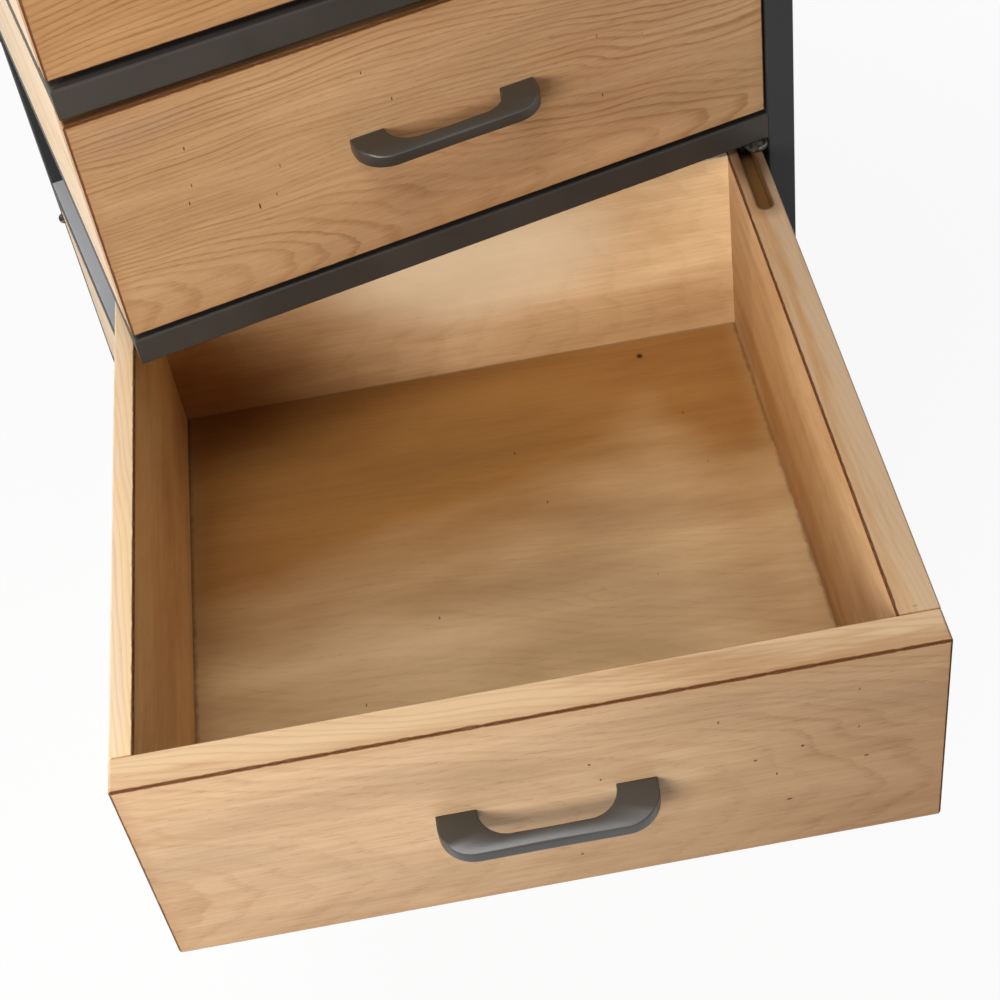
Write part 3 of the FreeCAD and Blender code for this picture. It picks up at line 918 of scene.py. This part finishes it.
class SEMAINIER_OT_steel_frame(bpy.types.Operator):
    """Lacquer the tubes, posts and runners of the frame"""

    bl_idname = "semainier.steel_frame"
    bl_label = "Steel Frame"

    def execute(self, context):
        look = context.scene.semainier_steel
        colour = tuple(look.colour)
        # The tubes' lacquer with painted shade on their upward arrises.
        lacquer = lacquered_steel("satin_lacquer", colour, look.rough, above=PAINTED_ARRIS_SHADE)
        sheen_rails = lacquered_steel(
            "rubbed_lacquer", colour, look.rough, above=RUBBED_PAINTED_SHEEN, rubbed_sheen=True
        )
        # Painted shade: the posts get a darker copy of the lacquer.
        shaded_upright = lacquered_steel("post_lacquer", POST_PAINTED_SHADE, look.rough)
        bright = bare_steel("bright_steel")
        own = {"stop_lugs": bright, "left_side_rails": sheen_rails}
        for node in frame["record"]["behaviour"]["bodies"]["frame"]:
            if node != "top_board":
                give(node, own.get(node, shaded_upright if node.startswith("post") else lacquer))
        for number in DRAWERS:
            give(f"drawer_{number}_stop_pin", bright)
        return {"FINISHED"}


class SEMAINIER_OT_handles(bpy.types.Operator):
    """Set a softly rounded bow handle on every drawer"""

    bl_idname = "semainier.handles"
    bl_label = "Handles"

    def execute(self, context):
        shape = context.scene.semainier_handle
        look = context.scene.semainier_steel
        rough = look.rough - HANDLE_SMOOTHER
        lacquer = lacquered_steel("handle_lacquer", HANDLE_SHADE, rough, HANDLE_SHEEN)
        points, faces = bow_handle(shape)
        corner = closed_corner(4)
        low, high = (Vector(end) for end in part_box("drawer_4_handle"))
        foot = Vector(((low.x + high.x) / 2, high.y, low.z)) - corner
        for number in DRAWERS:
            seated = moved(points, drawer_place(number) @ Matrix.Translation(foot))
            body = f"drawer_{number}"
            piece = new_piece(f"handle_{number}", seated, faces, body, lacquer)
            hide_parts(f"drawer_{number}_handle")
        return {"FINISHED"}


ARRIS_POINTS = 7
LEG_POINTS, CORNER_POINTS, GRIP_POINTS = 6, 14, 12


def bow_handle(shape):
    """The handle as a section carried along its length.

    Seen from above, an outer and an inner line run side by side from foot to foot: straight out
    of the board, round a quarter circle, along the grip, and back.  At every station the section
    is the strip between the two lines, with a flat lower edge and an upper edge that falls to the
    front, and its four corners are quarter circles of one radius.
    """
    half = shape.length / 2
    outer = strip_line(half, shape.reach, shape.outer)
    inner = strip_line(half - shape.foot, shape.reach - shape.bar, shape.inner)
    corner = np.repeat(np.arange(4), ARRIS_POINTS)
    turn = np.radians(90 * corner + np.tile(np.linspace(0, 90, ARRIS_POINTS), 4))
    outward = np.isin(corner, (0, 3)).astype(float)
    upward = np.isin(corner, (0, 1)).astype(float)
    across = outer - inner
    width = np.linalg.norm(across, axis=1, keepdims=True)
    away = across / width
    radius = shape.arris
    reach = outward * (width - 2 * radius) + radius + radius * np.cos(turn)
    plan = inner[:, None, :] + away[:, None, :] * reach[:, :, None]
    rise = radius + radius * np.sin(turn) + upward * (shape.height - 2 * radius)
    sloping = shape.bar - radius
    forward = np.clip((-plan[:, :, 1] - (shape.reach - sloping)) / sloping, 0, 1)
    height = rise - upward * shape.fall * forward
    points = np.concatenate([plan, height[:, :, None]], axis=2)
    points[:, :, 1] = np.minimum(points[:, :, 1], 0.0)
    return points, grid_faces(*points.shape[:2])


def strip_line(half, reach, radius):
    """Straight out of the board, a quarter circle, half the grip; then the same mirrored."""
    out = np.linspace(0, reach - radius, LEG_POINTS)
    leg = np.stack([np.full(LEG_POINTS, -half), -out], axis=1)
    angle = np.linspace(0, np.pi / 2, CORNER_POINTS + 2)[1:-1]
    aside = -half + radius - radius * np.cos(angle)
    bend = np.stack([aside, -(reach - radius) - radius * np.sin(angle)], axis=1)
    along = np.linspace(-half + radius, 0, GRIP_POINTS)
    grip = np.stack([along, np.full(GRIP_POINTS, -reach)], axis=1)
    left = np.concatenate([leg, bend, grip])
    return np.concatenate([left, (left * (-1, 1))[-2::-1]])


class SEMAINIER_OT_bolts(bpy.types.Operator):
    """Set the domed bolt heads that hold the hoops to the rear left post"""

    bl_idname = "semainier.bolts"
    bl_label = "Bolt Heads"

    def execute(self, context):
        shape = context.scene.semainier_bolts
        bright = bpy.data.materials["bright_steel"]
        low, high = (Vector(end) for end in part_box("post_back_left"))
        points, faces = domed_head(shape.radius, shape.rise)
        for level, rail in enumerate(rail_heights(), 1):
            set_in = points + np.array((low.x, (low.y + high.y) / 2, rail - shape.drop))
            new_piece(f"bolt_head_{level}", set_in, faces, "frame", bright)
        return {"FINISHED"}


def rail_heights():
    """Middle heights of the seven upper hoops."""
    low, high = (Vector(end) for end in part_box("left_side_rails"))
    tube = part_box("base_hoop")[1][2]
    return np.linspace(low.z + tube / 2, high.z - tube / 2, len(DRAWERS))


DOME_RINGS, DOME_SIDES = 8, 28
DOME_TIP = 0.02


def domed_head(radius, rise):
    """A low dome turned about X: the distance from the axis falls as a quarter ellipse rises.

    A very small flat ends it, a share of the radius wide.
    """
    angle = np.linspace(0, np.pi / 2, DOME_RINGS)
    out = radius * np.cos(angle)
    out[-1] = radius * DOME_TIP
    height = rise * np.sin(angle)
    around = np.linspace(0, 2 * np.pi, DOME_SIDES, endpoint=False)
    points = np.stack(
        [
            np.repeat(-height[:, None], DOME_SIDES, axis=1),
            out[:, None] * np.cos(around),
            out[:, None] * np.sin(around),
        ],
        axis=2,
    )
    return points, grid_faces(DOME_RINGS, DOME_SIDES)


# Where each soft light stands, what it aims at and how wide it is.
LIGHTS = {
    "window": ((-0.95, -1.1, 0.95), (-0.1, -0.35, 0.5), 0.6),
    "ceiling": ((-0.40, -0.62, 1.9), (-0.1, -0.4, 0.4), 0.7),
    "side": ((-1.6, 0.0, 0.9), (-0.2, -0.1, 0.5), 0.8),
}
WHITE, CHALK = (1.0, 1.0, 1.0, 1.0), (0.86, 0.86, 0.86, 1.0)
FLOOR_HALF = 6.0

# How white the floor is by itself, from near the chest to far from it; the rest takes its shadow.
FLOOR_NEAR, FLOOR_FAR = 0.4, 1.6
FLOOR_SHARE_NEAR, FLOOR_SHARE_FAR = 0.93, 0.985

# The camera's own right, up and back.
CAMERA_AXES = (
    (0.91467388, -0.3870362, -0.1165104),
    (0.34915364, 0.61136678, 0.7101566),
    (-0.20362573, -0.69024173, 0.69433632),
)
SENSOR_WIDTH = 36


class SEMAINIER_OT_stage(bpy.types.Operator):
    """Lay the pale floor and set the lights and the camera"""

    bl_idname = "semainier.stage"
    bl_label = "Stage"

    def execute(self, context):
        look = context.scene.semainier_stage
        lay_floor()
        light_air(context.scene, look.air)
        for name, (stand, aim, size) in LIGHTS.items():
            area_light(name, stand, aim, size, getattr(look, name))
        place_camera(context.scene, look)
        context.scene.view_settings.view_transform = "Standard"
        return {"FINISHED"}


def seen_directly(finish):
    """1 for rays from the camera, from a gloss or through glass."""
    rays = finish.node("ShaderNodeLightPath", {}, {}).socket.node.outputs
    camera, gloss, clear = (
        Wire(finish, rays[f"Is {kind} Ray"]) for kind in ("Camera", "Glossy", "Transmission")
    )
    return camera.most(gloss).most(clear)


def lay_floor():
    """A pale square floor that is nearly white to the camera and still takes a soft shadow."""
    finish = Finish("pale_floor")
    chalk = finish.node("ShaderNodeBsdfDiffuse", {}, {"Color": CHALK})
    white = finish.node("ShaderNodeEmission", {}, {"Color": WHITE, "Strength": 1.0})
    x, y, _ = finish.node("ShaderNodeTexCoord", {}, {}, "Object").parts()
    away = (x * x + y * y).root()
    lit = away.step(FLOOR_NEAR, FLOOR_FAR, FLOOR_SHARE_NEAR, FLOOR_SHARE_FAR)
    shown = seen_directly(finish) * lit
    mixed = finish.node("ShaderNodeMixShader", {}, {0: shown, 1: chalk, 2: white})
    finish.node("ShaderNodeOutputMaterial", {}, {"Surface": mixed})
    mesh = bpy.data.meshes.new("floor")
    far = FLOOR_HALF
    rim = [(-far, -far, 0), (far, -far, 0), (far, far, 0), (-far, far, 0)]
    mesh.from_pydata(rim, [], [(0, 1, 2, 3)])
    mesh.materials.append(finish.material)
    floor = bpy.data.objects.new("floor", mesh)
    bpy.context.scene.collection.objects.link(floor)


def light_air(scene, strength):
    """White to the camera, much dimmer as light on the chest."""
    air = Finish("studio", "worlds")
    scene.world = air.material
    power = seen_directly(air).step(0.0, 1.0, strength, 1.0)
    glow = air.node("ShaderNodeBackground", {}, {"Color": WHITE, "Strength": power})
    air.node("ShaderNodeOutputWorld", {}, {"Surface": glow})


def area_light(name, stand, aim, size, power):
    """A soft square light that faces its aim."""
    lamp = bpy.data.lights.new(name, "AREA")
    lamp.energy = power
    lamp.size = size
    made = bpy.data.objects.new(name, lamp)
    made.location = stand
    made.rotation_euler = (Vector(aim) - Vector(stand)).to_track_quat("-Z", "Y").to_euler()
    bpy.context.scene.collection.objects.link(made)


def place_camera(scene, look):
    """Set the camera that looks down into the open drawer."""
    camera = bpy.data.cameras.new("camera")
    camera.lens = look.lens
    camera.sensor_width = SENSOR_WIDTH
    camera.shift_y = look.shift
    made = bpy.data.objects.new("camera", camera)
    turn = Matrix(CAMERA_AXES).transposed().to_4x4()
    made.matrix_world = Matrix.Translation(look.stand) @ turn
    scene.collection.objects.link(made)
    scene.camera = made


# ------------------------------------------------------------------ add-on


class SEMAINIER_PT_panel(bpy.types.Panel):
    """Lists the chest's pieces"""

    bl_idname = "SEMAINIER_PT_panel"
    bl_label = "Semainier"
    bl_space_type = "VIEW_3D"
    bl_region_type = "UI"
    bl_category = "Semainier"

    def draw(self, context):
        for group in LOOKS:
            box = self.layout.box()
            settings = getattr(context.scene, group)
            for name in settings.bl_rna.properties.keys():
                if name not in ("rna_type", "name"):
                    box.prop(settings, name)
        for operator in OPERATORS:
            self.layout.operator(operator.bl_idname)


OPERATORS = (
    SEMAINIER_OT_fronts,
    SEMAINIER_OT_sides,
    SEMAINIER_OT_bottoms,
    SEMAINIER_OT_top_board,
    SEMAINIER_OT_steel_frame,
    SEMAINIER_OT_handles,
    SEMAINIER_OT_bolts,
    SEMAINIER_OT_stage,
)
LOOKS = {
    "semainier_oak": OakLook,
    "semainier_handle": HandleShape,
    "semainier_bolts": BoltShape,
    "semainier_steel": SteelLook,
    "semainier_stage": StageLook,
}
CLASSES = (*LOOKS.values(), *OPERATORS, SEMAINIER_PT_panel)


def register():
    for cls in CLASSES:
        bpy.utils.register_class(cls)
    for name, group in LOOKS.items():
        setattr(bpy.types.Scene, name, bpy.props.PointerProperty(type=group))


def unregister():
    for name in LOOKS:
        delattr(bpy.types.Scene, name)
    for cls in reversed(CLASSES):
        bpy.utils.unregister_class(cls)


def main():
    register()
    for operator in OPERATORS:
        group, name = operator.bl_idname.split(".")
        getattr(getattr(bpy.ops, group), name)()
    bpy.context.view_layer.update()


if __name__ == "__main__":
    main()
